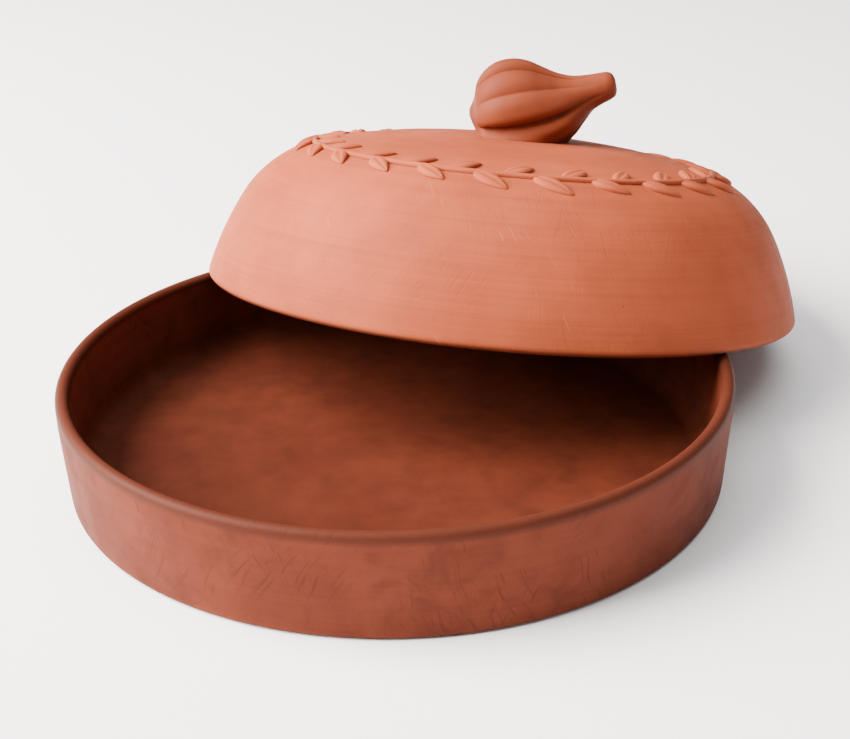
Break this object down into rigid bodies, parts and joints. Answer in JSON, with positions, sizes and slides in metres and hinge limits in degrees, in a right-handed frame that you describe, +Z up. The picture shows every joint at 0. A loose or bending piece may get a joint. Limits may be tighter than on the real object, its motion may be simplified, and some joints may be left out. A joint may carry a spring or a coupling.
{
  "type": "lidded terracotta bread warmer",
  "caption": "Shallow round unglazed terracotta dish with a domed lid leaning open on its rim; the lid carries a gourd-shaped knob and a raised leaf wreath. Keeps bread or butter covered.",
  "frame": {"origin": "centre of the dish's flat foot, on the surface it stands on", "axes": "+Z up along the dish's axis; the lid is set back from the dish 63.5 degrees from +X towards +Y; the knob's stalk points about +X"},
  "size_m": [0.2684, 0.3088, 0.1133],
  "materials": {
    "dish_clay": "unglazed red terracotta, burnished at the rim, lightly scuffed",
    "lid_clay": "unglazed terracotta with fine turning lines",
    "knob_clay": "unglazed terracotta, smoothed by hand",
    "wreath_clay": "unglazed terracotta relief"
  },
  "bodies": {
    "dish_body": {"dish": "dish_clay"},
    "lid_body": {"lid": "lid_clay", "knob": "knob_clay", "wreath": "wreath_clay"}
  },
  "joints": [
    {"name": "lid_close", "type": "hinge", "parent": "dish_body", "child": "lid_body", "pos_m": [0.00025, 0.00051, -0.37304], "axis": [0.8949, -0.4462, 0], "range_deg": [0, 13.2]}
  ]
}
